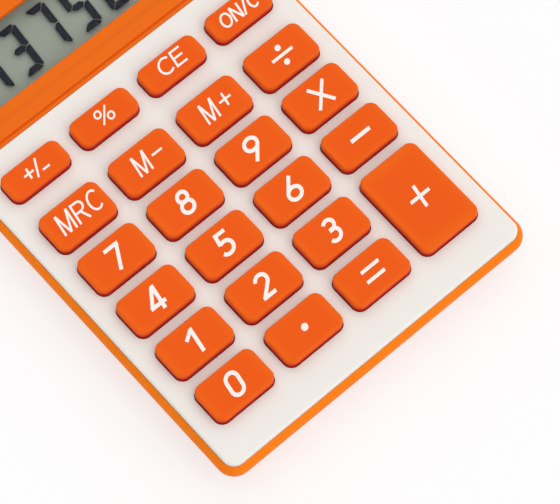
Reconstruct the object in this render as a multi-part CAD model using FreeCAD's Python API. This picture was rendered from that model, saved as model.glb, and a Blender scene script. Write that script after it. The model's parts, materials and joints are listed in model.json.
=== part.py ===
"""Eight-digit calculator: a shallow two-part case, a sprung keypad, a display and a button cell.

Millimetres. Origin on the table under the middle of the case, +Y towards the display, +Z up.
"""
import FreeCAD, Part

import os

from FreeCAD import Vector

# Case: the keypad and the display set its width and length
case_corner = 3.5
rim_width = 1.1           # rear cover's rim, seen round the front face
rim_drop = 0.7            # front face stands this far above the rim
rim_round = 2.0
rim_flat = 0.3            # upright stretch between the rim's two rounds
rim_low_round = 0.8
tub_top_inset = 0.9       # rear cover turns in under its rim by this much
tub_foot_inset = 2.6      # and stands in by this much at its foot
floor_bevel = 0.5
case_wall = 1.4
floor_thickness = 1.5
part_line_gap = 0.06
ledge_width = 1.0         # rear cover's inner ledge, under the edge of the front face

# Front cover
bezel_seat = 0.5          # front cover's wall under the display bezel
face_round = 0.5
skirt_depth = 1.0
skirt_wall = 1.0
skirt_gap = 0.2
deck_overlap = 1.7        # lowered deck runs this far forward under the keypad face

# Feet
foot_height = 0.6
foot_radius = 3.0
foot_sink = 0.5
foot_gap = 0.1
foot_round = 0.2
foot_side_inset = 10.0
foot_end_inset = 12.5

# Keys
key_width = 13.1
key_depth = 8.1
function_key_depth = 5.9
column_gap = 2.9
row_gap = 2.53
function_row_gap = 4.85   # between the function keys and the row before them
key_side_gap = 0.9        # from the outer keys' flanges to the front cover's skirt
key_corner = 1.7
key_rise = 2.1
key_round = 0.45
key_gap = 0.15
key_wall = 1.0
key_inner_corner = 0.3
key_roof = 1.1
key_flange = 0.6
flange_thickness = 0.8
plunger_radius = 1.6
key_travel = 1.2

# Keypad membrane and its contacts
sheet_thickness = 0.6
sheet_side_margin = 3.6
sheet_end_margin = 1.2
dome_base_radius = 2.9
dome_top_radius = 1.9
dome_wall = 0.55
dome_roof = 0.6
pill_radius = 1.1
pill_thickness = 0.4
pad_radius = 1.7
pad_split = 0.4
pad_thickness = 0.05
contact_gap = 0.05        # left between pill and pad at full travel

# Circuit board
board_thickness = 1.0
board_side_gap = 1.4
board_front_gap = 0.3
board_corner = 1.5
chip_radius = 5.0
chip_height = 1.0
capacitor_radius = 0.6
capacitor_length = 3.2
capacitor_from_back = 12.0

# Display
bezel_row_gap = 5.06      # from the function keys to the bezel
bezel_side = 5.3          # from the front face's side to the window
bezel_thickness = 1.0
bezel_gap = 0.1
bezel_lip = 0.6           # flat strip outside the bead
crease_width = 0.4        # groove behind the lip, along the bezel's front
crease_depth = 0.18
bead_width = 3.7
bead_height = 0.6
bead_corner = 3.6
window_margin = 6.6       # from the bezel's front edge to the window
window_height = 14.0
window_corner = 0.8
window_round = 0.35       # of the bezel's edge round a window
lens_margin = 1.2
lens_thickness = 0.8
lens_air = 0.4            # from the clear plate down to the display glass
opening_gap = 0.2
glass_thickness = 0.7
glass_side_margin = 0.45
glass_end_margin = 1.0
reflector_thickness = 0.15
contact_ledge = 2.4
connector_width = 1.7
connector_end_inset = 2.0
foam_width = 2.5

# Solar cell
solar_gap = 4.0           # from the display window to the solar window
solar_inset = 6.8         # solar window is this much shorter at each end than the display window
solar_height = 9.6
solar_back_margin = 7.1   # from the solar window to the back of the case
solar_margin = 1.0
solar_thickness = 1.1
lead_radius = 0.3
lead_spacing = 5.0
lead_inset = 1.4

# Button cell, its contacts and its door
cell_radius = 5.8
cell_height = 3.05
cell_cap_radius = 4.6
cell_cap_step = 0.3
cell_x = 6.0
well_gap = 0.2
well_wall = 1.0
well_top_gap = 0.3
leaf_thickness = 0.25
leaf_width = 3.4
leaf_on_board = 3.2
door_thickness = 1.15
door_margin = 1.4
door_back_margin = 2.5    # from the door to the edge of the flat underside
door_gap = 0.15
door_tongue = 5.3         # end of the door that takes its screw
door_corner = 1.0
seat_thickness = 1.1
seat_margin = 1.4

# Screws
case_head_radius = 1.4
case_head_height = 1.0
case_shank_radius = 0.7
case_shank_length = 4.2
case_shelf = 1.0          # wall that the head clamps
case_boss_radius = 1.6
case_boss_gap = 0.6       # round a front boss, to the skirt and to the keys' flanges
case_post_radius = 2.4
case_post_gap = 0.2       # from a post up to the board
case_joint_gap = 0.1
case_screw_side_inset = 7.5
case_back_screw_inset = 7.5
board_head_radius = 1.1
board_head_height = 0.6
board_shank_radius = 0.45
board_shank_length = 3.2
board_post_radius = 1.2
door_head_radius = 1.3
door_head_height = 0.6
door_shank_radius = 0.55
door_shank_length = 2.2
door_boss_radius = 1.7
door_boss_height = 3.0
screw_gap = 0.05
screw_end_gap = 0.2       # hole runs this far past a screw's tip
head_gap = 0.1
hole_gap = 0.3            # round a post where it passes the board or the membrane
head_round = 0.15
slot_width = 0.35
slot_depth = 0.4
slot_inset = 0.5

LAST_COLUMN = 3           # columns and rows are counted from 0
LAST_ROW = 4

# Heights: the cell stands on its door, and the board is level with the cell's top
floor_z = foot_height
floor_top_z = floor_z + floor_thickness
bevel_z = floor_z + floor_bevel
door_top_z = floor_z + door_thickness
board_top_z = door_top_z + cell_height
board_z = board_top_z - board_thickness
post_top_z = board_z - case_post_gap
shelf_z = post_top_z - case_shelf
sheet_top_z = board_top_z + sheet_thickness
pill_z = board_top_z + pad_thickness + key_travel + contact_gap
dome_roof_z = pill_z + pill_thickness
dome_top_z = dome_roof_z + dome_roof
cover_z = dome_top_z + flange_thickness
bezel_z = cover_z + bezel_seat
face_z = bezel_z + bezel_thickness
key_top_z = face_z + key_rise
rim_top_z = face_z - rim_drop
rim_low_z = rim_top_z - rim_round - rim_flat - rim_low_round
tub_top_z = rim_low_z + rim_low_round
deck_z = bezel_z - lens_thickness - lens_air
glass_z = deck_z - glass_thickness
rear_glass_z = glass_z - glass_thickness
reflector_z = rear_glass_z - reflector_thickness

# Plan: sizes from the case's front side, then places from the middle of the case
column_pitch = key_width + column_gap
row_pitch = key_depth + row_gap
ledge_inset = rim_width - part_line_gap + ledge_width
skirt_inset = ledge_inset + skirt_gap
skirt_inner = skirt_inset + skirt_wall
front_strip = 2 * (case_boss_radius + case_boss_gap)
front_to_first_row = skirt_inner + front_strip + key_flange + key_depth / 2
first_to_function_row = LAST_ROW * row_pitch + (key_depth + function_key_depth) / 2 + function_row_gap
front_to_bezel = front_to_first_row + first_to_function_row + function_key_depth / 2 + bezel_row_gap
front_to_solar = front_to_bezel + window_margin + window_height + solar_gap
case_width = LAST_COLUMN * column_pitch + key_width + 2 * (key_flange + key_side_gap + skirt_inner)
case_length = front_to_solar + solar_height + solar_back_margin
face_width = case_width - 2 * rim_width
face_length = case_length - 2 * rim_width
face_corner = case_corner - rim_width
first_row_y = front_to_first_row - case_length / 2
function_row_y = first_row_y + first_to_function_row
bezel_y = front_to_bezel - case_length / 2
window_y = bezel_y + window_margin + window_height / 2
window_width = face_width - 2 * bezel_side
lens_width = window_width + 2 * lens_margin
lens_height = window_height + 2 * lens_margin
glass_width = lens_width + 2 * (opening_gap + glass_side_margin)
glass_back_y = window_y + lens_height / 2 + opening_gap + glass_end_margin
ledge_end_y = window_y - lens_height / 2 - opening_gap - glass_end_margin
glass_front_y = ledge_end_y - contact_ledge
solar_width = window_width - 2 * solar_inset
solar_y = front_to_solar + solar_height / 2 - case_length / 2
well_radius = cell_radius + well_gap
door_reach = well_radius + door_margin
cell_y = case_length / 2 - tub_foot_inset - floor_bevel - door_back_margin - door_reach

# Reach that makes a cut or a joined piece pass cleanly through its neighbour
past = 0.2
level_tolerance = 1e-6

ORDINARY_KEYS = [
    ("key_0", 0, 0), ("key_point", 1, 0), ("key_equals", 2, 0),
    ("key_1", 0, 1), ("key_2", 1, 1), ("key_3", 2, 1),
    ("key_4", 0, 2), ("key_5", 1, 2), ("key_6", 2, 2), ("key_minus", 3, 2),
    ("key_7", 0, 3), ("key_8", 1, 3), ("key_9", 2, 3), ("key_multiply", 3, 3),
    ("key_memory_recall", 0, 4), ("key_memory_minus", 1, 4),
    ("key_memory_plus", 2, 4), ("key_divide", 3, 4),
]
FUNCTION_KEYS = ["key_sign_change", "key_percent", "key_clear_entry", "key_on_clear"]


def column_x(column):
    return (column - LAST_COLUMN / 2) * column_pitch


def row_y(row):
    return first_row_y + row * row_pitch


def key_plan():
    """Each key's name, centre and depth."""
    plan = [(name, column_x(column), row_y(row), key_depth) for name, column, row in ORDINARY_KEYS]
    plan.append(("key_plus", column_x(LAST_COLUMN), row_y(0.5), key_depth + row_pitch))
    for column, name in enumerate(FUNCTION_KEYS):
        plan.append((name, column_x(column), function_row_y, function_key_depth))
    return plan


def outline(width, length, corner, z, x=0.0, y=0.0):
    """A rectangle with round corners, as a closed wire."""
    half_w = width / 2
    half_l = length / 2
    side_w = half_w - corner
    side_l = half_l - corner
    diagonal = corner * 0.5 ** 0.5
    edges = []
    for sx, sy in ((1, 1), (-1, 1), (-1, -1), (1, -1)):
        centre = Vector(x + sx * side_w, y + sy * side_l, z)
        on_side = centre + Vector(sx * corner, 0, 0)
        on_end = centre + Vector(0, sy * corner, 0)
        middle = centre + Vector(sx * diagonal, sy * diagonal, 0)
        start, end = (on_side, on_end) if sx * sy > 0 else (on_end, on_side)
        if edges:
            edges.append(Part.LineSegment(edges[-1].Vertexes[-1].Point, start).toShape())
        else:
            first = start
        edges.append(Part.Arc(start, middle, end).toShape())
    edges.append(Part.LineSegment(edges[-1].Vertexes[-1].Point, first).toShape())
    return Part.Wire(edges)


def plate(width, length, corner, low, high, x=0.0, y=0.0):
    """A flat plate with round corners."""
    return Part.Face(outline(width, length, corner, low, x, y)).extrude(Vector(0, 0, high - low))


def block(x0, x1, y0, y1, z0, z1):
    return Part.makeBox(x1 - x0, y1 - y0, z1 - z0, Vector(x0, y0, z0))


def disc(radius, low, high, x, y):
    return Part.makeCylinder(radius, high - low, Vector(x, y, low))


def cone(low_radius, high_radius, low, high, x, y):
    return Part.makeCone(low_radius, high_radius, high - low, Vector(x, y, low))


def inset_outline(inset, corner, z):
    return outline(case_width - 2 * inset, case_length - 2 * inset, corner, z)


def inset_plate(inset, corner, low, high):
    return plate(case_width - 2 * inset, case_length - 2 * inset, corner, low, high)


def edges_at(shape, z):
    """The edges that lie in the level z."""
    return [edge for edge in shape.Edges
            if max(abs(edge.BoundBox.ZMin - z), abs(edge.BoundBox.ZMax - z)) < level_tolerance]


def fuse(shape, pieces):
    return shape.multiFuse(pieces).removeSplitter() if pieces else shape


def cut(shape, tools):
    return shape.cut(Part.makeCompound(tools)) if tools else shape


def mirrored_pair(x, y):
    return [(-x, y), (x, y)]


def middle_screw_y():
    """Midway between the function keys and the display glass."""
    return (function_row_y + function_key_depth / 2 + key_flange + glass_front_y) / 2


def case_screw_places():
    side = case_width / 2 - case_screw_side_inset
    front_y = skirt_inner + front_strip / 2 - case_length / 2
    back_y = case_length / 2 - case_back_screw_inset
    return [place for y in (front_y, middle_screw_y(), back_y) for place in mirrored_pair(side, y)]


def keypad_post_places():
    """Board screws between the keys: at crossings of the gaps, and before the function row."""
    gap_y = (row_y(LAST_ROW) + key_depth / 2 + function_row_y - function_key_depth / 2) / 2
    places = [(0.0, row_y(0.5))]
    places += mirrored_pair(column_pitch, row_y(2.5))
    places += mirrored_pair(column_pitch, gap_y)
    return places


def display_post_places():
    """Board screws that press the board up to the display's connector."""
    return mirrored_pair(column_pitch, middle_screw_y())


def foot_places():
    x = case_width / 2 - foot_side_inset
    y = case_length / 2 - foot_end_inset
    return mirrored_pair(x, -y) + mirrored_pair(x, y)


def door_box():
    """The door's two corners: it covers the cell's well and reaches out to its screw."""
    return (cell_x - door_reach - door_tongue, cell_x + door_reach,
            cell_y - door_reach, cell_y + door_reach)


def door_screw_x():
    return door_box()[0] + door_tongue / 2


def door_plate(grow, low, high):
    x0, x1, y0, y1 = door_box()
    return plate(x1 - x0 + 2 * grow, y1 - y0 + 2 * grow, door_corner + grow, low, high,
                 (x0 + x1) / 2, (y0 + y1) / 2)


def cap(depth, x, y):
    """A hollow key with a flange that stops under the front cover, and a plunger."""
    body = plate(key_width, depth, key_corner, dome_top_z, key_top_z, x, y)
    body = body.makeFillet(key_round, edges_at(body, key_top_z))
    flange = plate(key_width + 2 * key_flange, depth + 2 * key_flange, key_corner + key_flange,
                   dome_top_z, cover_z, x, y)
    roof_z = key_top_z - key_roof
    hollow = plate(key_width - 2 * key_wall, depth - 2 * key_wall, key_inner_corner, dome_top_z, roof_z, x, y)
    plunger = disc(plunger_radius, dome_top_z, roof_z, x, y)
    return fuse(body, [flange]).cut(hollow).fuse(plunger).removeSplitter()


def face_block(low):
    """The front face's outline down to a level, with its top edge rounded."""
    solid = plate(face_width, face_length, face_corner, low, face_z)
    return solid.makeFillet(face_round, edges_at(solid, face_z))


def front_cover():
    face = face_block(cover_z)
    pocket = block(-case_width, case_width, bezel_y, case_length, bezel_z, face_z + past)
    face = face.cut(pocket)
    skirt = inset_plate(skirt_inset, face_corner, cover_z - skirt_depth, cover_z + past)
    inner = inset_plate(skirt_inner, face_corner, cover_z - skirt_depth, cover_z + past)
    deck_back_y = case_length / 2 - skirt_inset - skirt_wall / 2
    deck = block(-glass_width / 2, glass_width / 2, bezel_y - deck_overlap, deck_back_y, deck_z, bezel_z)
    pieces = [skirt.cut(inner), deck]
    holes = []
    boss_z = post_top_z + case_joint_gap
    pilot_top_z = shelf_z + case_shank_length + screw_end_gap
    for x, y in case_screw_places():
        pieces.append(disc(case_boss_radius, boss_z, cover_z + past, x, y))
        holes.append(disc(case_shank_radius + screw_gap, boss_z, pilot_top_z, x, y))
    board_pilot_top_z = board_z + board_shank_length + screw_end_gap
    for x, y in keypad_post_places() + display_post_places():
        pieces.append(disc(board_post_radius, board_top_z, cover_z + past, x, y))
        holes.append(disc(board_shank_radius + screw_gap, board_top_z, board_pilot_top_z, x, y))
    for _, x, y, depth in key_plan():
        holes.append(plate(key_width + 2 * key_gap, depth + 2 * key_gap, key_corner + key_gap,
                           cover_z, face_z + past, x, y))
    holes.append(plate(lens_width + 2 * opening_gap, lens_height + 2 * opening_gap, window_corner,
                       deck_z, bezel_z + past, 0, window_y))
    holes.append(plate(solar_width + 2 * (solar_margin + opening_gap),
                       solar_height + 2 * (solar_margin + opening_gap), window_corner,
                       deck_z, bezel_z + past, 0, solar_y))
    return cut(fuse(face, pieces), holes)


def tub_inset(z):
    """How far the rear cover's side stands in from the rim at a height."""
    lean = (tub_foot_inset - tub_top_inset) / (tub_top_z - bevel_z)
    return tub_top_inset + lean * (tub_top_z - z)


def rear_cover():
    rim = inset_plate(0, case_corner, rim_low_z, rim_top_z)
    rim = rim.makeFillet(rim_round, edges_at(rim, rim_top_z))
    rim = rim.makeFillet(rim_low_round, edges_at(rim, rim_low_z))
    tub = Part.makeLoft([
        inset_outline(tub_inset(tub_top_z), case_corner, tub_top_z),
        inset_outline(tub_inset(bevel_z), case_corner, bevel_z),
        inset_outline(tub_inset(bevel_z) + floor_bevel, case_corner, floor_z),
    ], True, True)
    skirt_room_z = cover_z - skirt_depth - skirt_gap
    cavity = Part.makeLoft([
        inset_outline(tub_inset(skirt_room_z) + case_wall, case_corner, skirt_room_z),
        inset_outline(tub_inset(floor_top_z) + case_wall, case_corner, floor_top_z),
    ], True, True)
    shell = cut(fuse(rim, [tub]), [
        inset_plate(rim_width - part_line_gap, face_corner + part_line_gap, cover_z, rim_top_z + past),
        inset_plate(ledge_inset, face_corner, skirt_room_z, cover_z + past),
        cavity,
    ])
    pieces = [disc(case_post_radius, bevel_z, post_top_z, x, y) for x, y in case_screw_places()]
    seat_top_z = door_top_z + seat_thickness
    pieces.append(door_plate(seat_margin, door_top_z, seat_top_z))
    pieces.append(disc(well_radius + well_wall, door_top_z, board_top_z - well_top_gap, cell_x, cell_y))
    pieces.append(disc(door_boss_radius, door_top_z, door_top_z + door_boss_height, door_screw_x(), cell_y))
    holes = [disc(foot_radius + foot_gap, floor_z, floor_z + foot_sink, x, y) for x, y in foot_places()]
    for x, y in case_screw_places():
        holes.append(disc(case_head_radius + head_gap, floor_z, shelf_z, x, y))
        holes.append(disc(case_shank_radius + screw_gap, floor_z, post_top_z, x, y))
    holes.append(door_plate(door_gap, floor_z, door_top_z))
    holes.append(disc(well_radius, floor_z, board_top_z, cell_x, cell_y))
    slot = leaf_thickness + well_gap
    holes.append(block(cell_x - well_radius - well_wall, cell_x - cell_radius + slot,
                       cell_y - well_radius, cell_y + leaf_width / 2 + slot, seat_top_z, board_top_z))
    holes.append(disc(door_shank_radius + screw_gap, door_top_z, door_top_z + door_shank_length,
                      door_screw_x(), cell_y))
    return cut(fuse(shell, pieces), holes)


def bead():
    """A low round bead along a closed path with round corners."""
    half = bead_width / 2
    y0 = bezel_y + bezel_gap + bezel_lip + half
    y1 = face_length / 2 - bezel_lip - half
    width = face_width - 2 * (bezel_lip + half)
    path = outline(width, y1 - y0, bead_corner, face_z, 0, (y0 + y1) / 2)
    start = path.OrderedVertexes[0].Point
    crown = Vector(start.x, start.y, face_z + bead_height)
    outer = Vector(start.x + half, start.y, face_z)
    inner = Vector(start.x - half, start.y, face_z)
    below = Vector(0, 0, -past)
    section = Part.Wire([
        Part.Arc(outer, crown, inner).toShape(),
        Part.LineSegment(inner, inner + below).toShape(),
        Part.LineSegment(inner + below, outer + below).toShape(),
        Part.LineSegment(outer + below, outer).toShape(),
    ])
    return path.makePipeShell([section], True, False)


def window_edges(frame, width, length, y):
    """The frame's upper edges round a window."""
    return [edge for edge in edges_at(frame, face_z)
            if abs(edge.CenterOfMass.x) <= width / 2 + level_tolerance
            and abs(edge.CenterOfMass.y - y) <= length / 2 + level_tolerance]


def display_bezel():
    frame = face_block(bezel_z)
    frame = frame.common(block(-case_width, case_width, bezel_y + bezel_gap, case_length, bezel_z, face_z))
    windows = [
        plate(window_width, window_height, window_corner, bezel_z, face_z + past, 0, window_y),
        plate(solar_width, solar_height, window_corner, bezel_z, face_z + past, 0, solar_y),
    ]
    crease_y = bezel_y + bezel_gap + bezel_lip
    crease = block(-case_width, case_width, crease_y, crease_y + crease_width,
                   face_z - crease_depth, face_z + bead_height)
    frame = cut(fuse(frame, [bead()]), windows + [crease])
    rounded = window_edges(frame, window_width, window_height, window_y)
    rounded += window_edges(frame, solar_width, solar_height, solar_y)
    return frame.makeFillet(window_round, rounded)


def display_window():
    return plate(lens_width, lens_height, window_corner, bezel_z - lens_thickness, bezel_z, 0, window_y)


def glass_sheet(front_y, low, high):
    return block(-glass_width / 2, glass_width / 2, front_y, glass_back_y, low, high)


def lcd_connector():
    """A rubber strip between the board and the glass's contact ledge."""
    y = glass_front_y + contact_ledge / 2
    half = glass_width / 2 - connector_end_inset
    return block(-half, half, y - connector_width / 2, y + connector_width / 2, board_top_z, glass_z)


def lcd_foam():
    """A foam strip under the front half of the display."""
    y = (ledge_end_y + window_y) / 2
    half = glass_width / 2 - connector_end_inset
    return block(-half, half, y - foam_width / 2, y + foam_width / 2, board_top_z, reflector_z)


def solar_cell():
    return plate(solar_width + 2 * solar_margin, solar_height + 2 * solar_margin, window_corner,
                 bezel_z - solar_thickness, bezel_z, 0, solar_y)


def lead_places():
    """Where the two leads stand: on the board's back edge, at one end of the solar cell."""
    y = board_back_y() - lead_inset
    x = lead_inset - solar_width / 2 - solar_margin
    return [(x, y), (x + lead_spacing, y)]


def solar_leads():
    return [disc(lead_radius, board_top_z, bezel_z - solar_thickness, x, y) for x, y in lead_places()]


def board_back_y():
    return solar_y - solar_height / 2 - solar_margin + 2 * lead_inset


def board_front_y():
    front_boss_y = case_screw_places()[0][1] + case_boss_radius
    return front_boss_y + board_front_gap


def circuit_board():
    half = case_width / 2 - tub_inset(board_z) - case_wall - board_side_gap
    y0 = board_front_y()
    y1 = board_back_y()
    board = plate(2 * half, y1 - y0, board_corner, board_z, board_top_z, 0, (y0 + y1) / 2)
    holes = [disc(case_boss_radius + hole_gap, board_z, board_top_z, x, y) for x, y in case_screw_places()]
    holes += [disc(board_shank_radius + screw_gap, board_z, board_top_z, x, y)
              for x, y in keypad_post_places() + display_post_places()]
    holes.append(disc(well_radius + well_wall + hole_gap, board_z, board_top_z, cell_x, cell_y))
    holes.append(disc(door_boss_radius + hole_gap, board_z, board_top_z, door_screw_x(), cell_y))
    return cut(board, holes)


def keypad_membrane():
    """A rubber sheet on the board with a hollow dome under every key."""
    plan = key_plan()
    half = column_x(LAST_COLUMN) + dome_base_radius + sheet_side_margin
    y0 = row_y(0) - dome_base_radius - sheet_end_margin
    y1 = function_row_y + dome_base_radius + sheet_end_margin
    sheet = plate(2 * half, y1 - y0, board_corner, board_top_z, sheet_top_z, 0, (y0 + y1) / 2)
    sheet = cut(sheet, [disc(board_post_radius + hole_gap, board_top_z, sheet_top_z, x, y)
                        for x, y in keypad_post_places()])
    domes = [cone(dome_base_radius, dome_top_radius, sheet_top_z, dome_top_z, x, y) for _, x, y, _ in plan]
    hollows = [cone(dome_base_radius - dome_wall, dome_top_radius - dome_wall, board_top_z, dome_roof_z, x, y)
               for _, x, y, _ in plan]
    return cut(fuse(sheet, domes), hollows)


def contact_pills():
    return [disc(pill_radius, pill_z, dome_roof_z, x, y) for _, x, y, _ in key_plan()]


def contact_pads():
    """Two half-round pads under each pill."""
    pads = []
    for _, x, y, _ in key_plan():
        whole = disc(pad_radius, board_top_z, board_top_z + pad_thickness, x, y)
        split = block(x - pad_split / 2, x + pad_split / 2, y - pad_radius, y + pad_radius,
                      board_top_z, board_top_z + pad_thickness)
        pads += whole.cut(split).Solids
    return pads


def controller_chip():
    """A low drop of resin over the chip, under the board."""
    sphere_radius = (chip_radius ** 2 + chip_height ** 2) / (2 * chip_height)
    centre = Vector(column_x(1), row_y(1.5), board_z + sphere_radius - chip_height)
    drop = Part.makeSphere(sphere_radius, centre)
    return drop.common(disc(chip_radius, board_z - 2 * chip_height, board_z, centre.x, centre.y))


def supply_capacitor():
    """A small part lying under the board near its back edge."""
    low = Vector(column_x(0), board_back_y() - capacitor_from_back, board_z - capacitor_radius)
    return Part.makeCylinder(capacitor_radius, capacitor_length, low, Vector(0, 1, 0))


def screw(head_radius, head_height, shank_radius, shank_length, head_z, x, y):
    """A round-headed screw, seen from below, with a cross in its head."""
    head = disc(head_radius, head_z - head_height, head_z, x, y)
    head = head.makeFillet(head_round, edges_at(head, head_z - head_height))
    shank = disc(shank_radius, head_z, head_z + shank_length, x, y)
    low = head_z - head_height
    reach = head_radius - slot_inset
    cross = [
        block(x - reach, x + reach, y - slot_width / 2, y + slot_width / 2, low, low + slot_depth),
        block(x - slot_width / 2, x + slot_width / 2, y - reach, y + reach, low, low + slot_depth),
    ]
    return cut(fuse(head, [shank]), cross)


def case_screws():
    return [screw(case_head_radius, case_head_height, case_shank_radius, case_shank_length, shelf_z, x, y)
            for x, y in case_screw_places()]


def board_screws():
    return [screw(board_head_radius, board_head_height, board_shank_radius, board_shank_length, board_z, x, y)
            for x, y in keypad_post_places() + display_post_places()]


def rubber_feet():
    feet = []
    for x, y in foot_places():
        foot = disc(foot_radius, 0, floor_z + foot_sink, x, y)
        feet.append(foot.makeFillet(foot_round, edges_at(foot, 0)))
    return feet


def button_cell():
    """A can with its smaller cap on top."""
    can = disc(cell_radius, door_top_z, board_top_z - cell_cap_step, cell_x, cell_y)
    top_cap = disc(cell_cap_radius, door_top_z, board_top_z, cell_x, cell_y)
    return fuse(can, [top_cap])


def negative_contact():
    """A strip from the board to the middle of the cell's cap."""
    board_edge_y = cell_y - well_radius - well_wall - hole_gap
    return block(cell_x - leaf_width / 2, cell_x + leaf_width / 2, board_edge_y - leaf_on_board,
                 cell_y + leaf_width / 2, board_top_z, board_top_z + leaf_thickness)


def positive_contact():
    """A leaf standing against the side of the can, with a tab on the board."""
    x1 = cell_x - cell_radius
    x0 = x1 - leaf_thickness
    reach = well_radius + well_wall + hole_gap
    edge_y = cell_y - (reach ** 2 - (cell_x - x0) ** 2) ** 0.5
    leaf_z = door_top_z + seat_thickness
    leaf = block(x0, x1, edge_y + hole_gap, cell_y + leaf_width / 2, leaf_z, board_top_z + leaf_thickness)
    tab = block(x1 - leaf_width, x1, edge_y - leaf_on_board, edge_y + hole_gap + leaf_thickness,
                board_top_z, board_top_z + leaf_thickness)
    return fuse(leaf, [tab])


def battery_door():
    door = door_plate(0, floor_z, door_top_z)
    x = door_screw_x()
    return cut(door, [
        disc(door_head_radius + head_gap, floor_z, floor_z + door_head_height, x, cell_y),
        disc(door_shank_radius + screw_gap, floor_z, door_top_z, x, cell_y),
    ])


def door_screw():
    length = door_shank_length + door_thickness - door_head_height - screw_end_gap
    return screw(door_head_radius, door_head_height, door_shank_radius, length,
                 floor_z + door_head_height, door_screw_x(), cell_y)


def save(node, shape):
    """Writes one node: a single solid, or a group of separate ones."""
    solids = shape if isinstance(shape, list) else [shape]
    solids = [solid for piece in solids for solid in piece.Solids]
    whole = solids[0] if len(solids) == 1 else Part.makeCompound(solids)
    whole.exportStep(f"parts/{node}.step")


os.makedirs("parts", exist_ok=True)

save("front_cover", front_cover())
save("rear_cover", rear_cover())
save("rubber_feet", rubber_feet())
save("display_bezel", display_bezel())
save("display_window", display_window())
save("lcd_front_glass", glass_sheet(glass_front_y, glass_z, deck_z))
save("lcd_rear_glass", glass_sheet(glass_front_y + contact_ledge, rear_glass_z, glass_z))
save("lcd_reflector", glass_sheet(glass_front_y + contact_ledge, reflector_z, rear_glass_z))
save("lcd_connector", lcd_connector())
save("lcd_foam", lcd_foam())
save("solar_cell", solar_cell())
save("solar_leads", solar_leads())
save("keypad_membrane", keypad_membrane())
save("contact_pills", contact_pills())
save("contact_pads", contact_pads())
save("circuit_board", circuit_board())
save("controller_chip", controller_chip())
save("supply_capacitor", supply_capacitor())
save("button_cell", button_cell())
save("positive_contact", positive_contact())
save("negative_contact", negative_contact())
save("battery_door", battery_door())
save("door_screw", door_screw())
save("case_screws", case_screws())
save("board_screws", board_screws())
for key_name, key_x, key_y, depth in key_plan():
    save(key_name, cap(depth, key_x, key_y))
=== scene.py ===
"""Looks of the calculator: smooth moulded plastics, printed legends, display digits and the studio.

Metres in the part's frame: +X to the user's right, +Y towards the display, +Z up.
"""
import json
import math

import bmesh
import bpy
from mathutils import Matrix, Quaternion, Vector


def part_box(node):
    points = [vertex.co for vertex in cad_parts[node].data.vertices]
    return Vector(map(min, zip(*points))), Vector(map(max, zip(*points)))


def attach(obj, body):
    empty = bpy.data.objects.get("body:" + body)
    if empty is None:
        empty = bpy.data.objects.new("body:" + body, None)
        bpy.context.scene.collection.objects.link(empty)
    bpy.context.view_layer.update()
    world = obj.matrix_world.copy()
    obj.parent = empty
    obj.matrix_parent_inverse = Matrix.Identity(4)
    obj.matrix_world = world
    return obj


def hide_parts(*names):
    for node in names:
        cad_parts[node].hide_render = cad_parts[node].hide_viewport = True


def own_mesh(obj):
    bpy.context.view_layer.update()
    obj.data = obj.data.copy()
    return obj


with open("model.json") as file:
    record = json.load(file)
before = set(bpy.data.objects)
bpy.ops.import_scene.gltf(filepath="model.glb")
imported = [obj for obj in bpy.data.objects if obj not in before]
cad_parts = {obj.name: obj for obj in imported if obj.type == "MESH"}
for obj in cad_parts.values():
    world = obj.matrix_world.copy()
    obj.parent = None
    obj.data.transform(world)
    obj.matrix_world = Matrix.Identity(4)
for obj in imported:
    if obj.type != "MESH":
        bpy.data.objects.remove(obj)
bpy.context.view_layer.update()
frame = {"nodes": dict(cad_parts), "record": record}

MM = 0.001

# Picture
PICTURE_WIDTH = 560           # pixels
FOCAL_PIXELS = 3384.5
SENSOR_WIDTH = 36.0           # millimetres, as lenses are given
CLIP_NEAR = 0.01
CLIP_FAR = 20.0
CAMERA_TARGET = Vector((-1.06, -31.49, 9.37)) * MM
CAMERA_DISTANCE = 600.4 * MM
CAMERA_AZIMUTH = 40.85        # the way it looks, in degrees from +Y towards +X
CAMERA_ELEVATION = 67.0       # degrees that it looks down
CAMERA_ROLL = -0.345          # degrees

# Studio
LAMPS = {                     # azimuth from +Y towards +X, elevation and spread in degrees; strength
    "wide_lamp": (95.0, 66.0, 142.0, 2.66),
    "front_lamp": (160.0, 45.0, 50.0, 0.45),
}
SKY_STRENGTH = 0.1
WHITE = (1.0, 1.0, 1.0)
PAPER_WHITE = (0.96, 0.96, 0.96)
FLOOR_GLOW = 0.65             # share of plain white in the floor as the camera and reflections see it
FLOOR_RADIUS = 2.6            # to the foot of the sweep
SWEEP_RADIUS = 1.2            # of the floor's upward sweep
SWEEP_STEPS = 9
FLOOR_STEPS = 72              # round the floor
FLOOR_WELD = 0.01 * MM

# Plastics: linear colours
KEY_ORANGE = (0.86, 0.105, 0.006)
# painted highlight: a lighter orange along a key's edge, where light catches its rounds
KEY_EDGE_PAINTED_HIGHLIGHT = (0.88, 0.140, 0.007)
KEY_PAINTED_HIGHLIGHT_FROM = 0.66          # share of the way from a key's middle to its edge where the painted highlight begins
# painted shade: deep red down a key's sides, where they turn from the light
KEY_SIDE_PAINTED_SHADE = (0.50, 0.008, 0.003)
KEY_PAINTED_SHADE_HIGH = 0.45 * MM     # below the key's top, where the painted shade begins
KEY_PAINTED_SHADE_LOW = 1.4 * MM       # and where it is full
BEZEL_ORANGE = (0.84, 0.15, 0.006)
CASE_ORANGE = (0.95, 0.21, 0.004)
WARM_WHITE = (0.87, 0.84, 0.79)
LEGEND_WHITE = (0.93, 0.88, 0.82)
SHEET_SHADE = (0.02, 0.02, 0.02)
SHEET_ROUGHNESS = 0.05        # of the clear sheets
NOISE_MIDDLE = 0.5            # about which mottling and grain swing

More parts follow.
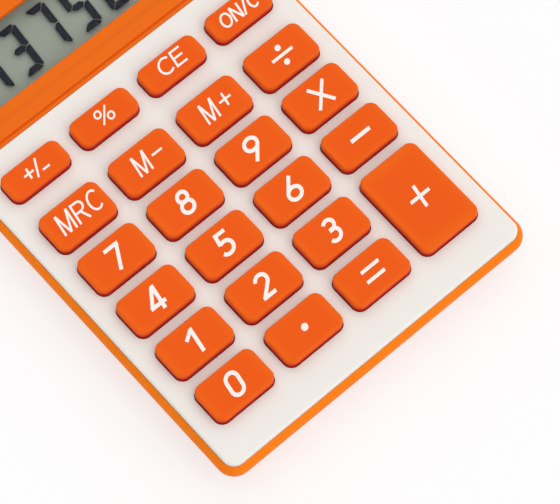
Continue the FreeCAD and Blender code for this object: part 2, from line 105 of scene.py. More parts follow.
# Smooth copies of the moulded pieces
MOULDINGS = ("front_cover", "rear_cover", "display_bezel", "battery_door", "rubber_feet", "case_screws",
             "door_screw")
WELD = 0.0005 * MM            # corners nearer than this are one
SHARP_ANGLE = math.radians(32)
FLAT_FACE_WEIGHT = 100        # how strongly large faces set the shading
KEY_MAP = "key_face"          # the UV map across a key

# Printed legends
PRINT_LOW = 0.02 * MM         # how far the print reaches into the key
PRINT_HIGH = 0.03 * MM        # and stands above it
PRINT_STEP = 0.003 * MM       # each stroke of a legend lies this much above the last
LEGEND_SLANT = 0.16           # to the right for each unit up
DIGIT_SHIFT = Vector((0.05, -0.03)) * MM    # from the key's middle to the legend's, as the other shifts
SIGN_SHIFT = Vector((0.22, -0.06)) * MM
MEMORY_SHIFT = Vector((0.7, 0.1)) * MM
FUNCTION_SHIFT = Vector((0.2, 0.12)) * MM
ARC_STEP = 9.0                # degrees
SAME_POINT = 0.001 * MM       # a stroke whose ends lie nearer than this is closed
MITRE_LIMIT = 0.3             # least cosine at a corner, so that sharp corners stay short

# Keypad membrane
SHEET_TOP = 5.4 * MM
DOME_TOP = 7.1 * MM
DOME_BASE_RADIUS = 2.9 * MM
DOME_TOP_RADIUS = 1.9 * MM
DOME_ROOF = 0.6 * MM          # thickness over the hollow
DOME_HOLE_REACH = 1.2 * DOME_BASE_RADIUS    # a dome's hole lies within this of its middle
HOLLOW_BASE_RADIUS = 2.0 * MM
HOLLOW_TOP_RADIUS = 1.35 * MM
PILL_RADIUS = 1.1 * MM
ROUND_STEPS = 40              # round a dome or a pill

# Solar cell
SOLAR_FIELDS = 4
SOLAR_LINE = 0.3 * MM         # width of a line, and how far it stays from the cell's edges

# Display
CLEAR_SHEETS = ("display_window", "lcd_front_glass", "lcd_rear_glass")
PANE_GAP = 0.02 * MM          # taken off each sheet, above and below
DIGITS = "24375618"
DIGIT_PITCH = 6.9 * MM
DIGIT_WIDTH = 4.45 * MM
DIGIT_HEIGHT = 10.7 * MM
DIGIT_FROM_EDGE = 2.3 * MM    # above the opening's lower edge
DIGIT_ROW_SHIFT = 0.69 * MM   # of the whole row to the right
DIGIT_SLANT = 0.09            # to the right for each unit up
LENS_MARGIN = 1.2 * MM        # of the clear plate under the bezel
BAR_WIDTH = 1.4 * MM
BAR_GAP = 0.12 * MM           # clearance at a bar's ends
CORNER_CUT = 0.3 * MM         # across a digit's outer corners
BAR_THICKNESS = 0.02 * MM

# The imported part: its keys, and each node's body and material slot
record = frame["record"]
bodies = record["behaviour"]["bodies"]
KEYS = [body for body in bodies if body.startswith("key_")]
BODY_OF = {node: body for body, nodes in bodies.items() for node in nodes}
SLOT_OF = {part["node"]: part["material_slot"] for part in record["subparts"]}


# Objects and meshes

def add_object(name, data):
    """A new object in the scene."""
    thing = bpy.data.objects.new(name, data)
    bpy.context.scene.collection.objects.link(thing)
    return thing


def mesh_object(name, bm, material):
    """A new object with the mesh of a bmesh, which is used up."""
    mesh = bpy.data.meshes.new(name)
    bm.to_mesh(mesh)
    bm.free()
    mesh.materials.append(material)
    return add_object(name, mesh)


def add_piece(name, bm, body, material, stands_for=()):
    """Turns a bmesh into a piece of the object that moves with a body."""
    piece = mesh_object(name, bm, material)
    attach(piece, body)
    if stands_for:
        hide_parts(*stands_for)
    return piece


def thicken(bm, faces, rise):
    """Extrudes flat faces straight up, or down where the rise is negative."""
    grown = bmesh.ops.extrude_face_region(bm, geom=faces)["geom"]
    verts = [v for v in grown if isinstance(v, bmesh.types.BMVert)]
    bmesh.ops.translate(bm, vec=(0, 0, rise), verts=verts)


def turn_profile(bm, verts, edges, middle, steps, weld):
    """Spins a profile once round an upright axis and closes its seam and poles."""
    bmesh.ops.spin(bm, geom=verts + edges, cent=middle, axis=(0, 0, 1), angle=math.tau, steps=steps,
                   use_merge=True)
    bmesh.ops.remove_doubles(bm, verts=bm.verts, dist=weld)
    bmesh.ops.recalc_face_normals(bm, faces=bm.faces)


def leaning(place, slant):
    """The matrix that leans a flat sign to the right and sets it in its place."""
    shear = Matrix.Identity(4)
    shear[0][1] = slant
    return Matrix.Translation(place) @ shear


def key_middle(key):
    """The middle of a key's box."""
    low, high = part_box(key)
    return (low + high) / 2


def smooth_copy(node):
    """A welded copy of a moulded piece, shaded smooth across its rounds and flat on its flats."""
    bm = bmesh.new()
    bm.from_mesh(frame["nodes"][node].data)
    bmesh.ops.remove_doubles(bm, verts=bm.verts, dist=WELD)
    for face in bm.faces:
        face.smooth = True
    for edge in bm.edges:
        edge.smooth = len(edge.link_faces) == 2 and edge.calc_face_angle() < SHARP_ANGLE
    if node in KEYS:
        map_key_face(bm, node)
    slot = SLOT_OF[node]
    piece = add_piece(f"{node}_moulding", bm, BODY_OF[node], MATERIALS[slot], [node])
    normals = piece.modifiers.new("flat_faces", "WEIGHTED_NORMAL")
    normals.keep_sharp = True
    normals.weight = FLAT_FACE_WEIGHT


def map_key_face(bm, key):
    """A UV map that runs from -1 to 1 across a key, both ways."""
    low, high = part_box(key)
    middle = key_middle(key)
    half = (high - low) / 2
    place = bm.loops.layers.uv.new(KEY_MAP)
    for face in bm.faces:
        for corner in face.loops:
            way = corner.vert.co - middle
            corner[place].uv = (way.x / half.x, way.y / half.y)


def clear_pane(node):
    """A clear sheet in place of a node, a hair thinner so that it touches no other sheet."""
    low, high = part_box(node)
    low.z += PANE_GAP
    high.z -= PANE_GAP
    bm = bmesh.new()
    bmesh.ops.create_cube(bm, size=1.0)
    bmesh.ops.scale(bm, vec=high - low, verts=bm.verts)
    bmesh.ops.translate(bm, vec=(low + high) / 2, verts=bm.verts)
    slot = SLOT_OF[node]
    piece = add_piece(f"{node}_pane", bm, BODY_OF[node], MATERIALS[slot], [node])
    piece.visible_shadow = False
    piece.visible_diffuse = False


# Materials

def shader(name):
    """A new material with its Principled shader."""
    material = bpy.data.materials.new(name)
    material.use_nodes = True
    return material, material.node_tree, material.node_tree.nodes["Principled BSDF"]


def link(tree, source, target):
    """Joins an output to an input."""
    tree.links.new(source, target)


def add_node(tree, kind, **values):
    """A node with some of its inputs set by name."""
    node = tree.nodes.new(kind)
    for name, value in values.items():
        node.inputs[name.replace("_", " ")].default_value = value
    return node


def math_node(tree, operation, first, second):
    """The result of an operation on two values, each an output or a plain number."""
    node = tree.nodes.new("ShaderNodeMath")
    node.operation = operation
    for socket, value in zip(node.inputs, (first, second)):
        if isinstance(value, bpy.types.NodeSocket):
            link(tree, value, socket)
        else:
            socket.default_value = value
    return node.outputs[0]


def make_grain_group():
    """Soft mottling of a colour, and a fine grain for roughness and relief."""
    tree = bpy.data.node_groups.new("moulded_grain", "ShaderNodeTree")
    sockets = tree.interface
    for name, kind in (("Color", "NodeSocketColor"), ("Mottle", "NodeSocketFloat"),
                       ("Mottle Scale", "NodeSocketFloat"), ("Grain Scale", "NodeSocketFloat"),
                       ("Roughness", "NodeSocketFloat"), ("Spread", "NodeSocketFloat")):
        sockets.new_socket(name, in_out="INPUT", socket_type=kind)
    for name, kind in (("Color", "NodeSocketColor"), ("Roughness", "NodeSocketFloat"),
                       ("Height", "NodeSocketFloat")):
        sockets.new_socket(name, in_out="OUTPUT", socket_type=kind)
    given = tree.nodes.new("NodeGroupInput").outputs
    result = tree.nodes.new("NodeGroupOutput").inputs
    place = tree.nodes.new("ShaderNodeTexCoord").outputs["Object"]
    mottle = add_node(tree, "ShaderNodeTexNoise", Detail=3.0, Roughness=0.55)
    grain = add_node(tree, "ShaderNodeTexNoise", Detail=2.0, Roughness=0.6)
    for noise, scale in ((mottle, "Mottle Scale"), (grain, "Grain Scale")):
        link(tree, place, noise.inputs["Vector"])
        link(tree, given[scale], noise.inputs["Scale"])
    swing = math_node(tree, "SUBTRACT", mottle.outputs["Fac"], NOISE_MIDDLE)
    share = math_node(tree, "MULTIPLY", swing, given["Mottle"])
    value = math_node(tree, "ADD", share, 1.0)
    tint = tree.nodes.new("ShaderNodeVectorMath")
    tint.operation = "SCALE"
    link(tree, given["Color"], tint.inputs[0])
    link(tree, value, tint.inputs["Scale"])
    link(tree, tint.outputs[0], result["Color"])
    rough_swing = math_node(tree, "SUBTRACT", grain.outputs["Fac"], NOISE_MIDDLE)
    rough_share = math_node(tree, "MULTIPLY", rough_swing, given["Spread"])
    link(tree, math_node(tree, "ADD", rough_share, given["Roughness"]), result["Roughness"])
    link(tree, grain.outputs["Fac"], result["Height"])
    return tree


GRAIN = make_grain_group()


def grained(name, colour, roughness, spread=0.12, mottle=0.05, mottle_scale=70.0, grain_scale=2600.0,
            relief=0.02, relief_depth=0.02, metallic=0.0, specular=0.5):
    """A surface with soft mottling and a fine grain: scales in features per metre, depth in millimetres."""
    material, tree, principled = shader(name)
    group = tree.nodes.new("ShaderNodeGroup")
    group.node_tree = GRAIN
    values = {"Color": (*colour, 1.0), "Mottle": mottle, "Mottle Scale": mottle_scale,
              "Grain Scale": grain_scale, "Roughness": roughness, "Spread": spread}
    for socket, value in values.items():
        group.inputs[socket].default_value = value
    bump = add_node(tree, "ShaderNodeBump", Strength=relief, Distance=relief_depth * MM)
    link(tree, group.outputs["Color"], principled.inputs["Base Color"])
    link(tree, group.outputs["Roughness"], principled.inputs["Roughness"])
    link(tree, group.outputs["Height"], bump.inputs["Height"])
    link(tree, bump.outputs["Normal"], principled.inputs["Normal"])
    principled.inputs["Metallic"].default_value = metallic
    principled.inputs["Specular IOR Level"].default_value = specular
    return material


def clear_sheet(name, tint, veil):
    """Thin clear sheet: light goes straight through it, apart from the share that its own surface veils."""
    material, tree, principled = shader(name)
    principled.inputs["Base Color"].default_value = (*SHEET_SHADE, 1.0)
    principled.inputs["Roughness"].default_value = SHEET_ROUGHNESS
    passing = add_node(tree, "ShaderNodeBsdfTransparent", Color=(*tint, 1.0))
    mix = add_node(tree, "ShaderNodeMixShader", Fac=1.0 - veil)
    link(tree, principled.outputs[0], mix.inputs[1])
    link(tree, passing.outputs[0], mix.inputs[2])
    link(tree, mix.outputs[0], tree.nodes["Material Output"].inputs["Surface"])
    return material


def tinted(tree, colour, tint, share):
    """A colour socket that turns to a tint by a share."""
    blend = tree.nodes.new("ShaderNodeMix")
    blend.data_type = "RGBA"
    blend.inputs["B"].default_value = (*tint, 1.0)
    link(tree, share, blend.inputs["Factor"])
    link(tree, colour, blend.inputs["A"])
    return blend.outputs["Result"]


def key_plastic():
    """Orange plastic with a painted highlight along the edge of a key and painted shade, deepening to red,
    down its sides.
    """
    material = grained("key_plastic", KEY_ORANGE, roughness=0.5, specular=0.08)
    tree = material.node_tree
    principled = tree.nodes["Principled BSDF"]
    face = tree.nodes.new("ShaderNodeUVMap")
    face.uv_map = KEY_MAP
    ways = tree.nodes.new("ShaderNodeSeparateXYZ")
    link(tree, face.outputs[0], ways.inputs[0])
    across, along = [math_node(tree, "ABSOLUTE", ways.outputs[axis], 0.0) for axis in "XY"]
    # the painted highlight's share, growing towards the key's edge
    edge = add_node(tree, "ShaderNodeMapRange", From_Min=KEY_PAINTED_HIGHLIGHT_FROM, From_Max=1.0)
    link(tree, math_node(tree, "MAXIMUM", across, along), edge.inputs["Value"])
    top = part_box(KEYS[0])[1].z
    place = tree.nodes.new("ShaderNodeTexCoord")
    axes = tree.nodes.new("ShaderNodeSeparateXYZ")
    # the painted shade's share, growing down the key's sides
    side = add_node(tree, "ShaderNodeMapRange", From_Min=top - KEY_PAINTED_SHADE_HIGH, From_Max=top - KEY_PAINTED_SHADE_LOW)
    link(tree, place.outputs["Object"], axes.inputs[0])
    link(tree, axes.outputs["Z"], side.inputs["Value"])
    colour = principled.inputs["Base Color"].links[0].from_socket
    # painted highlight along the edge, then painted shade down the sides
    colour = tinted(tree, colour, KEY_EDGE_PAINTED_HIGHLIGHT, edge.outputs[0])
    colour = tinted(tree, colour, KEY_SIDE_PAINTED_SHADE, side.outputs[0])
    link(tree, colour, principled.inputs["Base Color"])
    return material


FINISHES = {                  # grained surfaces by the record's material slots
    "white_plastic": dict(colour=WARM_WHITE, roughness=0.5, mottle=0.015, specular=0.1),
    "case_plastic": dict(colour=CASE_ORANGE, roughness=0.42, specular=0.08),
    "bezel_plastic": dict(colour=BEZEL_ORANGE, roughness=0.45, specular=0.08),
    "reflector_film": dict(colour=(0.41, 0.44, 0.40), roughness=0.5, mottle=0.06, mottle_scale=1500.0,
                           grain_scale=6000.0),
    "contact_rubber": dict(colour=(0.32, 0.32, 0.34), roughness=0.7),
    "foam": dict(colour=(0.06, 0.06, 0.06), roughness=0.9, mottle=0.6, mottle_scale=2500.0, relief=0.6),
    "solar_glass": dict(colour=(0.022, 0.010, 0.014), roughness=0.12, mottle=0.5, mottle_scale=400.0),
    "copper": dict(colour=(0.85, 0.55, 0.30), roughness=0.3, metallic=1.0),
    "silicone": dict(colour=(0.62, 0.62, 0.60), roughness=0.6),
    "carbon": dict(colour=(0.02, 0.02, 0.022), roughness=0.75, mottle=0.4),
    "board_laminate": dict(colour=(0.30, 0.20, 0.08), roughness=0.4, mottle=0.3, mottle_scale=900.0),
    "resin": dict(colour=(0.012, 0.012, 0.014), roughness=0.2, mottle=0.3),
    "ceramic": dict(colour=(0.30, 0.16, 0.06), roughness=0.25, mottle=0.15),
    "cell_steel": dict(colour=(0.68, 0.68, 0.67), roughness=0.25, metallic=1.0),
    "spring_steel": dict(colour=(0.62, 0.62, 0.60), roughness=0.3, metallic=1.0),
    "screw_steel": dict(colour=(0.55, 0.55, 0.55), roughness=0.32, mottle=0.15, mottle_scale=1200.0,
                        metallic=1.0),
    "foot_rubber": dict(colour=(0.035, 0.035, 0.037), roughness=0.75, mottle=0.25, relief=0.15),
}
MATERIALS = {slot: grained(slot, **finish) for slot, finish in FINISHES.items()}
MATERIALS["key_plastic"] = key_plastic()
MATERIALS["clear_plastic"] = clear_sheet("clear_plastic", tint=(0.99, 0.99, 0.99), veil=0.02)
MATERIALS["display_glass"] = clear_sheet("display_glass", tint=(0.97, 0.98, 0.96), veil=0.01)
legend_ink = grained("legend_ink", LEGEND_WHITE, roughness=0.55, mottle=0.03, specular=0.3)
digit_ink = grained("digit_ink", (0.016, 0.017, 0.030), roughness=0.5, mottle=0.2, specular=0.2)
solar_line_metal = grained("solar_line_metal", (0.30, 0.29, 0.28), roughness=0.35, mottle=0.1, metallic=0.6)


# Strokes of the legends: millimetres, upright, about the legend's middle

def arc(x, y, rx, ry, start, end):
    """Points along a round or oval stretch, from one angle to another in degrees."""
    steps = max(2, math.ceil(abs(end - start) / ARC_STEP))
    angles = [math.radians(start + (end - start) * i / steps) for i in range(steps + 1)]
    return [(x + rx * math.cos(a), y + ry * math.sin(a)) for a in angles]


def ring(x, y, rx, ry):
    """A closed round or oval stroke."""
    return arc(x, y, rx, ry, 0, 360)


def bar(x0, y0, x1, y1):
    """A straight stroke."""
    return [(x0, y0), (x1, y1)]


DIGIT_STROKE = 0.74
DIGIT_TOP = 2.45              # to the outside of its strokes
LINE_TOP = 2.06               # to the middle of a level stroke

SIX = [ring(0, -0.88, 1.34, 1.18), bar(-1.2, -0.38, 0.75, DIGIT_TOP)]
GLYPHS = {
    "0": [arc(0, 0.88, 1.22, 1.22, 0, 180) + arc(0, -0.88, 1.22, 1.22, 180, 360) + [(1.22, 0.88)]],
    "1": [bar(-1.35, 0.8, 0.3, 2.05), bar(0.42, DIGIT_TOP, 0.42, -DIGIT_TOP)],
    "2": [arc(0.03, 0.9, 1.22, 1.18, 165, -38) + [(-1.0, -1.9)], bar(-1.45, -LINE_TOP, 1.35, -LINE_TOP)],
    "3": [arc(-0.02, 1.07, 1.06, 1.02, 150, -90) + [(-0.5, 0.05)],
          [(-0.5, 0.15)] + arc(-0.02, -0.95, 1.2, 1.13, 90, -152)],
    "4": [bar(0.42, 2.2, -1.4, -1.05), bar(-1.8, -1.2, 1.55, -1.2), bar(0.6, DIGIT_TOP, 0.6, -DIGIT_TOP)],
    "5": [arc(-0.03, -0.84, 1.36, 1.25, 128, -148), bar(-0.75, DIGIT_TOP, -0.88, 0.05),
          bar(-0.9, LINE_TOP, 1.3, LINE_TOP)],
    "6": SIX,
    "7": [bar(-1.6, LINE_TOP, 1.55, LINE_TOP), bar(1.25, 2.1, -0.55, -DIGIT_TOP)],
    "8": [ring(0, 1.09, 1.0, 1.0), ring(0, -0.94, 1.22, 1.15)],
    "9": [[(-x, -y) for x, y in stroke] for stroke in SIX],
}

LETTER_TOP = 2.1              # to the outside of its strokes
LETTER_LINE = 1.82            # to the middle of a level stroke
LETTER_STROKE = 0.42
LETTERS = {                   # each letter's width and its strokes
    "M": (2.5, [bar(-1.25, -LETTER_TOP, -1.25, LETTER_TOP), bar(1.25, -LETTER_TOP, 1.25, LETTER_TOP),
                bar(-1.2, LETTER_TOP, 0, -LETTER_TOP), bar(1.2, LETTER_TOP, 0, -LETTER_TOP)]),
    "R": (2.2, [bar(-1.1, -LETTER_TOP, -1.1, LETTER_TOP),
                [(-1.1, LETTER_LINE)] + arc(0.1, 0.88, 0.94, 0.94, 90, -90) + [(-1.1, -0.06)],
                bar(0.05, -0.1, 1.15, -LETTER_TOP)]),
    "C": (2.35, [arc(0.1, 0, 1.24, 1.88, 46, 314)]),
    "E": (1.9, [bar(-0.95, -LETTER_TOP, -0.95, LETTER_TOP), bar(-0.95, LETTER_LINE, 0.92, LETTER_LINE),
                bar(-0.95, 0.08, 0.82, 0.08), bar(-0.95, -LETTER_LINE, 0.98, -LETTER_LINE)]),
    "O": (2.7, [ring(0, 0, 1.35, LETTER_LINE)]),
    "N": (2.3, [bar(-1.15, -LETTER_TOP, -1.15, LETTER_TOP), bar(1.15, -LETTER_TOP, 1.15, LETTER_TOP),
                bar(-1.1, LETTER_TOP, 1.1, -LETTER_TOP)]),
    "/": (1.2, [bar(-0.75, -LETTER_TOP, 0.75, LETTER_TOP)]),
    "-": (2.1, [bar(-1.15, 0, 1.15, 0)]),
    "+": (2.3, [bar(-1.3, 0, 1.3, 0), bar(0, -1.35, 0, 1.35)]),
    "_": (1.8, [bar(-0.95, -1.3, 0.95, -1.3)]),
}


def word(letters, gap, size=1.0, stretch=1.0, lift=0.0):
    """The strokes of a row of letters: scaled, stretched across and lifted on the key."""
    width = sum(LETTERS[letter][0] for letter in letters) + gap * (len(letters) - 1)
    strokes = []
    x = -width / 2
    for letter in letters:
        advance, shapes = LETTERS[letter]
        middle = x + advance / 2
        for stroke in shapes:
            strokes.append([((middle + px) * size * stretch, py * size + lift) for px, py in stroke])
        x += advance + gap
    return strokes


SIGN_STROKE = 0.66
MINUS_STROKE = 0.76
DIVIDE_STROKE = 0.6
POINT_STROKE = 0.7
PERCENT_STROKE = 0.37
SIGN_REACH = 2.22             # from the middle to the end of a level bar
SIGN_TOP = 2.3                # from the middle up to the end of an upright or slanted bar
SIGNS = {                     # each sign's strokes and their width
    "key_equals": ([bar(-2.05, y, 2.05, y) for y in (1.05, -1.05)], SIGN_STROKE),
    "key_plus": ([bar(-SIGN_REACH, 0, SIGN_REACH, 0), bar(0, -SIGN_TOP, 0, SIGN_TOP)], SIGN_STROKE),
    "key_minus": ([bar(-SIGN_REACH, 0, SIGN_REACH, 0)], MINUS_STROKE),
    "key_multiply": ([bar(-1.82, -SIGN_TOP, 1.82, SIGN_TOP), bar(-1.82, SIGN_TOP, 1.82, -SIGN_TOP)],
                     SIGN_STROKE),
    "key_divide": ([bar(-2.4, 0, 2.4, 0), ring(0, 1.6, 0.3, 0.3), ring(0, -1.6, 0.3, 0.3)], DIVIDE_STROKE),
    "key_point": ([ring(0, 0, 0.35, 0.35)], POINT_STROKE),
}
MEMORY_WORDS = {
    "key_memory_recall": word("MRC", gap=0.94, lift=0.25),
    "key_memory_minus": word("M-", gap=1.25, lift=0.1),
    "key_memory_plus": word("M+", gap=1.3),
}
PERCENT_SIGN = [ring(-1.05, 0.8, 0.62, 0.68), ring(1.05, -0.8, 0.62, 0.68),
                bar(-1.05, -1.55, 1.05, 1.55)]
FUNCTION_SIGNS = {
    "key_sign_change": (word("+/_", gap=0.4, size=0.82), LETTER_STROKE),
    "key_percent": (PERCENT_SIGN, PERCENT_STROKE),
    "key_clear_entry": (word("CE", gap=0.46, size=0.82, stretch=1.42, lift=0.2), LETTER_STROKE),
    "key_on_clear": (word("ON/C", gap=0.8, size=0.74), LETTER_STROKE),
}
LEGENDS = {f"key_{digit}": (strokes, DIGIT_STROKE, DIGIT_SHIFT) for digit, strokes in GLYPHS.items()}
LEGENDS.update({key: (*sign, SIGN_SHIFT) for key, sign in SIGNS.items()})
LEGENDS.update({key: (strokes, LETTER_STROKE, MEMORY_SHIFT) for key, strokes in MEMORY_WORDS.items()})
LEGENDS.update({key: (*sign, FUNCTION_SHIFT) for key, sign in FUNCTION_SIGNS.items()})


def ribbon(bm, points, width, low, high):
    """A flat stroke of even width along points, with mitred corners and square ends."""
    points = [Vector(p) for p in points]
    closed = (points[0] - points[-1]).length < SAME_POINT
    if closed:
        points.pop()
    count = len(points)
    rows = []
    for i, point in enumerate(points):
        before = points[i - 1] if closed or i else None
        after = points[(i + 1) % count] if closed or i + 1 < count else None
        ways = [(b - a).normalized() for a, b in ((before, point), (point, after)) if a and b]
        way = sum(ways, Vector((0, 0))).normalized()
        reach = width / 2 / max(MITRE_LIMIT, way.dot(ways[0]))
        side = Vector((-way.y, way.x)) * reach
        rows.append([bm.verts.new((*(point + s * side), low)) for s in (1, -1)])
    following = rows[1:] + rows[:1] if closed else rows[1:]
    faces = [bm.faces.new((a[0], a[1], b[1], b[0])) for a, b in zip(rows, following)]
    thicken(bm, faces, high - low)


def print_legend(key):
    """The key's sign, slanted and laid near the middle of its top."""
    strokes, width, shift = LEGENDS[key]
    middle = key_middle(key)
    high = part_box(key)[1]
    bm = bmesh.new()
    for i, stroke in enumerate(strokes):
        points = [(x * MM, y * MM) for x, y in stroke]
        ribbon(bm, points, width * MM, -PRINT_LOW, PRINT_HIGH + i * PRINT_STEP)
    place = Vector((middle.x + shift.x, middle.y + shift.y, high.z))
    bmesh.ops.transform(bm, matrix=leaning(place, LEGEND_SLANT), verts=bm.verts)
    bmesh.ops.recalc_face_normals(bm, faces=bm.faces)
    add_piece(f"{key}_legend", bm, key, legend_ink)


# Keypad membrane

def membrane_sheet():
    """The membrane without its domes: holed where they stand."""
    bm = bmesh.new()
    bm.from_mesh(frame["nodes"]["keypad_membrane"].data)
    bmesh.ops.remove_doubles(bm, verts=bm.verts, dist=WELD)
    raised = [face for face in bm.faces if max(v.co.z for v in face.verts) > SHEET_TOP + WELD]
    bmesh.ops.delete(bm, geom=raised, context="FACES")
    for key in KEYS:
        middle = key_middle(key)
        rings = [edge for edge in bm.edges if edge.is_boundary
                 and all((v.co - middle).xy.length < DOME_HOLE_REACH for v in edge.verts)]
        bmesh.ops.bridge_loops(bm, edges=rings)
    bmesh.ops.recalc_face_normals(bm, faces=bm.faces)
    add_piece("membrane_sheet", bm, "case", MATERIALS["silicone"], ["keypad_membrane"])


def dome(key):
    """The rubber dome under a key."""
    middle = key_middle(key)
    roof = DOME_TOP - DOME_ROOF
    outside = [(DOME_BASE_RADIUS, SHEET_TOP), (DOME_TOP_RADIUS, DOME_TOP), (0.0, DOME_TOP)]
    inside = [(0.0, roof), (HOLLOW_TOP_RADIUS, roof), (HOLLOW_BASE_RADIUS, SHEET_TOP)]
    bm = bmesh.new()
    verts = [bm.verts.new((middle.x + r, middle.y, z)) for r, z in outside + inside]
    pairs = [(0, 1), (1, 2), (3, 4), (4, 5), (5, 0)]    # no edge along the axis, from 2 to 3
    edges = [bm.edges.new((verts[a], verts[b])) for a, b in pairs]
    turn_profile(bm, verts, edges, (middle.x, middle.y, 0), ROUND_STEPS, WELD)
    piece = add_piece(f"{key}_dome", bm, "case", MATERIALS["silicone"], ["keypad_membrane"])
    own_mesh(piece)


def pill(key):
    """The carbon pill in a dome, which goes down with its key."""
    middle = key_middle(key)
    low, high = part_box("contact_pills")
    bm = bmesh.new()
    bmesh.ops.create_cone(bm, cap_ends=True, segments=ROUND_STEPS, radius1=PILL_RADIUS, radius2=PILL_RADIUS,
                          depth=high.z - low.z)
    bmesh.ops.translate(bm, vec=(middle.x, middle.y, (low.z + high.z) / 2), verts=bm.verts)
    add_piece(f"{key}_pill", bm, key, MATERIALS["carbon"], ["contact_pills"])


# Solar cell

def solar_lines():
    """Fine lines between the fields of the solar cell."""
    low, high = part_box("solar_cell")
    field = (high.x - low.x) / SOLAR_FIELDS
    bm = bmesh.new()
    for i in range(1, SOLAR_FIELDS):
        x = low.x + i * field
        ribbon(bm, [(x, low.y + SOLAR_LINE), (x, high.y - SOLAR_LINE)], SOLAR_LINE, -PRINT_LOW, PRINT_HIGH)
    bmesh.ops.translate(bm, vec=(0, 0, high.z), verts=bm.verts)
    bmesh.ops.recalc_face_normals(bm, faces=bm.faces)
    add_piece("solar_lines", bm, "case", solar_line_metal)


# Display digits: bar a on top, b and c on the right, d below, e and f on the left, g in the middle

SEGMENTS = {"1": "bc", "2": "abged", "3": "abgcd", "4": "fgbc", "5": "afgcd", "6": "afgecd", "7": "abc",
            "8": "abcdefg"}


def bar_outlines():
    """Outlines of a digit's seven bars about its middle, mitred where they meet."""
    x = DIGIT_WIDTH / 2
    y = DIGIT_HEIGHT / 2
    half = BAR_WIDTH / 2
    outer = x - BAR_GAP
    inner = outer - BAR_WIDTH
    top = y - BAR_GAP
    cut = CORNER_CUT
    level = [(outer - 2 * cut, y), (outer - cut, y - cut), (inner, y - BAR_WIDTH)]
    level += [(-px, py) for px, py in reversed(level)]
    upright = [(x - cut, top - cut), (x, top - 2 * cut), (x, BAR_GAP), (x - half, BAR_GAP),
               (x - BAR_WIDTH, half + BAR_GAP), (x - BAR_WIDTH, top - BAR_WIDTH)]
    middle = [(inner, half), (outer - half, 0), (inner, -half)]
    middle += [(-px, py) for px, py in reversed(middle)]

    def turned(outline, across, along):
        """The outline, mirrored across or along where that factor is -1."""
        return [Vector((px * across, py * along)) for px, py in outline]

    return {"a": turned(level, 1, 1), "d": turned(level, 1, -1), "g": turned(middle, 1, 1),
            "b": turned(upright, 1, 1), "c": turned(upright, 1, -1),
            "f": turned(upright, -1, 1), "e": turned(upright, -1, -1)}


def display_digits():
    """The number on the display, in the gap under the front glass."""
    window_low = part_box("display_window")[0]
    glass_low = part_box("lcd_front_glass")[0]
    outlines = bar_outlines()
    y = window_low.y + LENS_MARGIN + DIGIT_FROM_EDGE + DIGIT_HEIGHT / 2
    bm = bmesh.new()
    for i, digit in enumerate(DIGITS):
        x = DIGIT_ROW_SHIFT + (i - (len(DIGITS) - 1) / 2) * DIGIT_PITCH
        place = leaning((x, y, glass_low.z), DIGIT_SLANT)
        for name in SEGMENTS[digit]:
            face = bm.faces.new([bm.verts.new(place @ p.to_3d()) for p in outlines[name]])
            thicken(bm, [face], -BAR_THICKNESS)
    bmesh.ops.recalc_face_normals(bm, faces=bm.faces)
    add_piece("display_digits", bm, "case", digit_ink)


# Studio

def direction(azimuth, elevation):
    """The unit vector at angles in degrees, the first from +Y towards +X."""
    a = math.radians(azimuth)
    e = math.radians(elevation)
    return Vector((math.sin(a) * math.cos(e), math.cos(a) * math.cos(e), math.sin(e)))


def make_camera():
    """The camera at the photograph's viewing angle."""
    data = bpy.data.cameras.new("camera")
    data.sensor_width = SENSOR_WIDTH
    data.lens = FOCAL_PIXELS * SENSOR_WIDTH / PICTURE_WIDTH
    data.clip_start = CLIP_NEAR
    data.clip_end = CLIP_FAR
    camera = add_object("camera", data)
    look = direction(CAMERA_AZIMUTH, -CAMERA_ELEVATION)
    camera.location = CAMERA_TARGET - look * CAMERA_DISTANCE
    camera.rotation_mode = "QUATERNION"
    roll = Quaternion((0, 0, 1), math.radians(CAMERA_ROLL))
    camera.rotation_quaternion = look.to_track_quat("-Z", "Y") @ roll
    bpy.context.scene.camera = camera


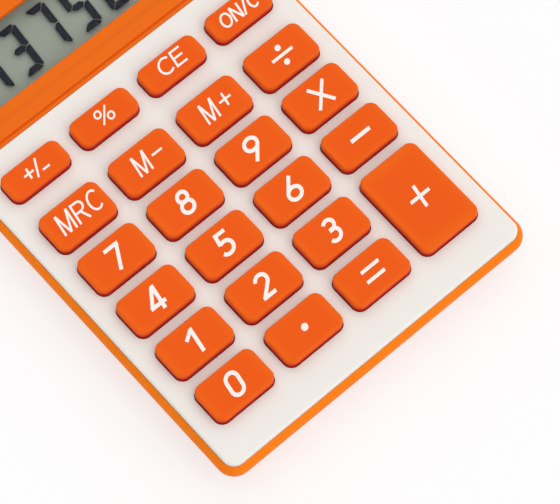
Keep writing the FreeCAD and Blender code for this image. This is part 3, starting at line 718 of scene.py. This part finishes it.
def floor_paper():
    """White paper that looks a little brighter to the camera and in reflections than it is lit."""
    material = grained("floor_paper", PAPER_WHITE, roughness=0.9, mottle=0.004, mottle_scale=3.0,
                       grain_scale=900.0, relief=0.0, specular=0.0)
    tree = material.node_tree
    glow = add_node(tree, "ShaderNodeEmission", Color=(*WHITE, 1.0), Strength=1.0)
    path = tree.nodes.new("ShaderNodeLightPath")
    seen = path.outputs["Is Camera Ray"]
    for ray in ("Is Glossy Ray", "Is Transmission Ray"):
        seen = math_node(tree, "MAXIMUM", seen, path.outputs[ray])
    mix = tree.nodes.new("ShaderNodeMixShader")
    link(tree, math_node(tree, "MULTIPLY", seen, FLOOR_GLOW), mix.inputs["Fac"])
    link(tree, tree.nodes["Principled BSDF"].outputs[0], mix.inputs[1])
    link(tree, glow.outputs[0], mix.inputs[2])
    link(tree, mix.outputs[0], tree.nodes["Material Output"].inputs["Surface"])
    return material


def make_floor():
    """A pale floor that sweeps up into a wall all round."""
    bm = bmesh.new()
    path = [Vector((0, 0, 0)), Vector((FLOOR_RADIUS, 0, 0))]
    for i in range(1, SWEEP_STEPS + 1):
        angle = math.pi / 2 * i / SWEEP_STEPS
        out = FLOOR_RADIUS + SWEEP_RADIUS * math.sin(angle)
        path.append(Vector((out, 0, SWEEP_RADIUS * (1 - math.cos(angle)))))
    verts = [bm.verts.new(point) for point in path]
    edges = [bm.edges.new(pair) for pair in zip(verts, verts[1:])]
    turn_profile(bm, verts, edges, (0, 0, 0), FLOOR_STEPS, FLOOR_WELD)
    for face in bm.faces:
        face.smooth = True
    floor = mesh_object("floor", bm, floor_paper())


def make_light():
    """A wide soft lamp, a smaller one in front and a faint even sky."""
    for name, (azimuth, elevation, spread, strength) in LAMPS.items():
        data = bpy.data.lights.new(name, "SUN")
        data.energy = strength
        data.angle = math.radians(spread)
        lamp = add_object(name, data)
        lamp.rotation_mode = "QUATERNION"
        lamp.rotation_quaternion = (-direction(azimuth, elevation)).to_track_quat("-Z", "Y")
    world = bpy.data.worlds.new("sky")
    world.use_nodes = True
    background = world.node_tree.nodes["Background"]
    background.inputs["Color"].default_value = (*WHITE, 1.0)
    background.inputs["Strength"].default_value = SKY_STRENGTH
    bpy.context.scene.world = world


# Build

for node, piece in frame["nodes"].items():
    piece.data.materials.clear()
    piece.data.materials.append(MATERIALS[SLOT_OF[node]])

for node in (*MOULDINGS, *KEYS):
    smooth_copy(node)

for node in CLEAR_SHEETS:
    clear_pane(node)

membrane_sheet()
for key in KEYS:
    dome(key)
    pill(key)
    print_legend(key)
solar_lines()
display_digits()

make_camera()
make_floor()
make_light()
bpy.context.scene.view_settings.view_transform = "Standard"
